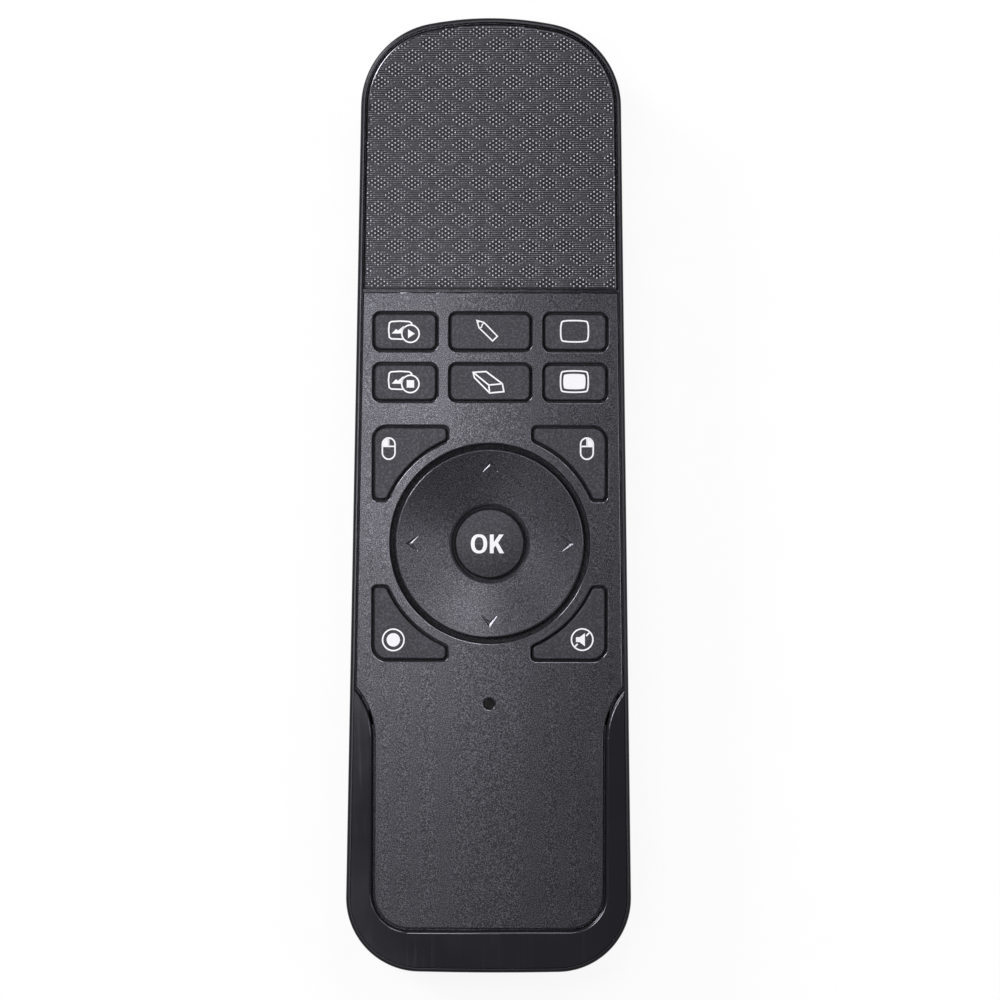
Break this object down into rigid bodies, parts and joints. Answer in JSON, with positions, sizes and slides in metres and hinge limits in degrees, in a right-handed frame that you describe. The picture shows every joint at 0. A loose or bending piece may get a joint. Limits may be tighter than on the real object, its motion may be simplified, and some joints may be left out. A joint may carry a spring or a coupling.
{
  "type": "wireless presentation clicker",
  "caption": "Slim hand-held presentation remote with a textured touchpad, keys, a rocking direction ring, a power slider, a sliding battery door and a USB receiver in its tail.",
  "frame": {"origin": "middle of the footprint, on the flat back that the clicker lies on", "axes": "+Z out of the key face, +Y towards the touchpad end, +X to the right seen from above"},
  "size_m": [0.0434, 0.1452, 0.0203],
  "materials": {
    "housing_gloss_black": "gloss moulded plastic, finely textured on the back",
    "satin_grey": "satin spark-textured plastic with a light metallic grain",
    "band_gloss_black": "polished gloss black plastic",
    "touch_plate": "satin plastic with raised diamonds of dots between ribbed diamonds",
    "key_rubber": "soft matt coated keys with white printed symbols",
    "board_green": "solder-masked circuit board",
    "flex_amber": "polyimide flat cable",
    "moulded_ivory": "moulded ivory plastic",
    "moulded_black": "fine matt moulded black plastic",
    "chip_black": "epoxy chip packages",
    "screw_steel": "zinc-plated screws",
    "silicone_grey": "soft silicone sheet",
    "spring_steel": "nickel-plated spring steel",
    "smoked_guide": "smoked light guide",
    "cell_sleeve": "plain shrink sleeve with bare ends",
    "back_matt_black": "fine textured black plastic",
    "plug_nickel": "nickel-plated plug shell",
    "contact_gold": "gold-plated contacts",
    "barrel_brass": "turned brass barrel",
    "clear_window": "dark red transparent window",
    "wire_red": "insulated wire"
  },
  "bodies": {
    "handset": {"lower_housing": "housing_gloss_black", "top_cover": "satin_grey", "tail_band": "band_gloss_black", "touchpad_surface": "touch_plate", "touch_sensor_board": "board_green", "touch_flex": "flex_amber", "flex_connector": "moulded_ivory", "main_board": "board_green", "circuit_chips": "chip_black", "board_screws": "screw_steel", "keypad_mat": "silicone_grey", "snap_domes": "spring_steel", "dpad_base": "moulded_black", "status_led": "moulded_ivory", "led_light_pipe": "smoked_guide", "battery_cells": "cell_sleeve", "battery_contacts": "spring_steel", "power_switch": "spring_steel", "laser_module": "barrel_brass", "laser_window": "clear_window", "laser_leads": "wire_red"},
    "start_key_body": {"start_key": "key_rubber"},
    "stop_key_body": {"stop_key": "key_rubber"},
    "pen_key_body": {"pen_key": "key_rubber"},
    "eraser_key_body": {"eraser_key": "key_rubber"},
    "blank_screen_key_body": {"blank_screen_key": "key_rubber"},
    "white_screen_key_body": {"white_screen_key": "key_rubber"},
    "left_click_key_body": {"left_click_key": "key_rubber"},
    "right_click_key_body": {"right_click_key": "key_rubber"},
    "laser_key_body": {"laser_key": "key_rubber"},
    "mute_key_body": {"mute_key": "key_rubber"},
    "ok_key_body": {"ok_key": "key_rubber"},
    "dpad_rocker_body": {"dpad_rocker": "spring_steel"},
    "dpad_ring_body": {"dpad_ring": "satin_grey"},
    "battery_door_body": {"battery_door": "back_matt_black"},
    "power_slider_body": {"power_slider": "moulded_black", "switch_lever": "moulded_black"},
    "usb_receiver": {"receiver_cap": "moulded_black", "receiver_shell": "plug_nickel", "receiver_tongue": "moulded_ivory", "receiver_pins": "contact_gold"}
  },
  "joints": [
    {"name": "start_key_press", "type": "slide", "parent": "handset", "child": "start_key_body", "axis": [0, 0, -1], "range_m": [0, 0.0006], "stiffness_N_per_m": 1500},
    {"name": "stop_key_press", "type": "slide", "parent": "handset", "child": "stop_key_body", "axis": [0, 0, -1], "range_m": [0, 0.0006], "stiffness_N_per_m": 1500},
    {"name": "pen_key_press", "type": "slide", "parent": "handset", "child": "pen_key_body", "axis": [0, 0, -1], "range_m": [0, 0.0006], "stiffness_N_per_m": 1500},
    {"name": "eraser_key_press", "type": "slide", "parent": "handset", "child": "eraser_key_body", "axis": [0, 0, -1], "range_m": [0, 0.0006], "stiffness_N_per_m": 1500},
    {"name": "blank_screen_key_press", "type": "slide", "parent": "handset", "child": "blank_screen_key_body", "axis": [0, 0, -1], "range_m": [0, 0.0006], "stiffness_N_per_m": 1500},
    {"name": "white_screen_key_press", "type": "slide", "parent": "handset", "child": "white_screen_key_body", "axis": [0, 0, -1], "range_m": [0, 0.0006], "stiffness_N_per_m": 1500},
    {"name": "left_click_key_press", "type": "slide", "parent": "handset", "child": "left_click_key_body", "axis": [0, 0, -1], "range_m": [0, 0.0006], "stiffness_N_per_m": 1500},
    {"name": "right_click_key_press", "type": "slide", "parent": "handset", "child": "right_click_key_body", "axis": [0, 0, -1], "range_m": [0, 0.0006], "stiffness_N_per_m": 1500},
    {"name": "laser_key_press", "type": "slide", "parent": "handset", "child": "laser_key_body", "axis": [0, 0, -1], "range_m": [0, 0.0006], "stiffness_N_per_m": 1500},
    {"name": "mute_key_press", "type": "slide", "parent": "handset", "child": "mute_key_body", "axis": [0, 0, -1], "range_m": [0, 0.0006], "stiffness_N_per_m": 1500},
    {"name": "ok_key_press", "type": "slide", "parent": "handset", "child": "ok_key_body", "axis": [0, 0, -1], "range_m": [0, 0.0006], "stiffness_N_per_m": 1500},
    {"name": "dpad_left_right", "type": "hinge", "parent": "handset", "child": "dpad_rocker_body", "pos_m": [0, -0.00733, 0.01603], "axis": [0, 1, 0], "range_deg": [-1.6, 1.6], "stiffness_Nm_per_rad": 1},
    {"name": "dpad_up_down", "type": "hinge", "parent": "dpad_rocker_body", "child": "dpad_ring_body", "pos_m": [0, -0.00733, 0.01667], "axis": [1, 0, 0], "range_deg": [-1.6, 1.6], "stiffness_Nm_per_rad": 1},
    {"name": "battery_door_slide", "type": "slide", "parent": "handset", "child": "battery_door_body", "axis": [0, -1, 0], "range_m": [0, 0.08]},
    {"name": "power_slide", "type": "slide", "parent": "handset", "child": "power_slider_body", "axis": [1, 0, 0], "range_m": [0, 0.002]},
    {"name": "receiver_pull_out", "type": "slide", "parent": "handset", "child": "usb_receiver", "axis": [0, -1, 0], "range_m": [0, 0.02]}
  ]
}
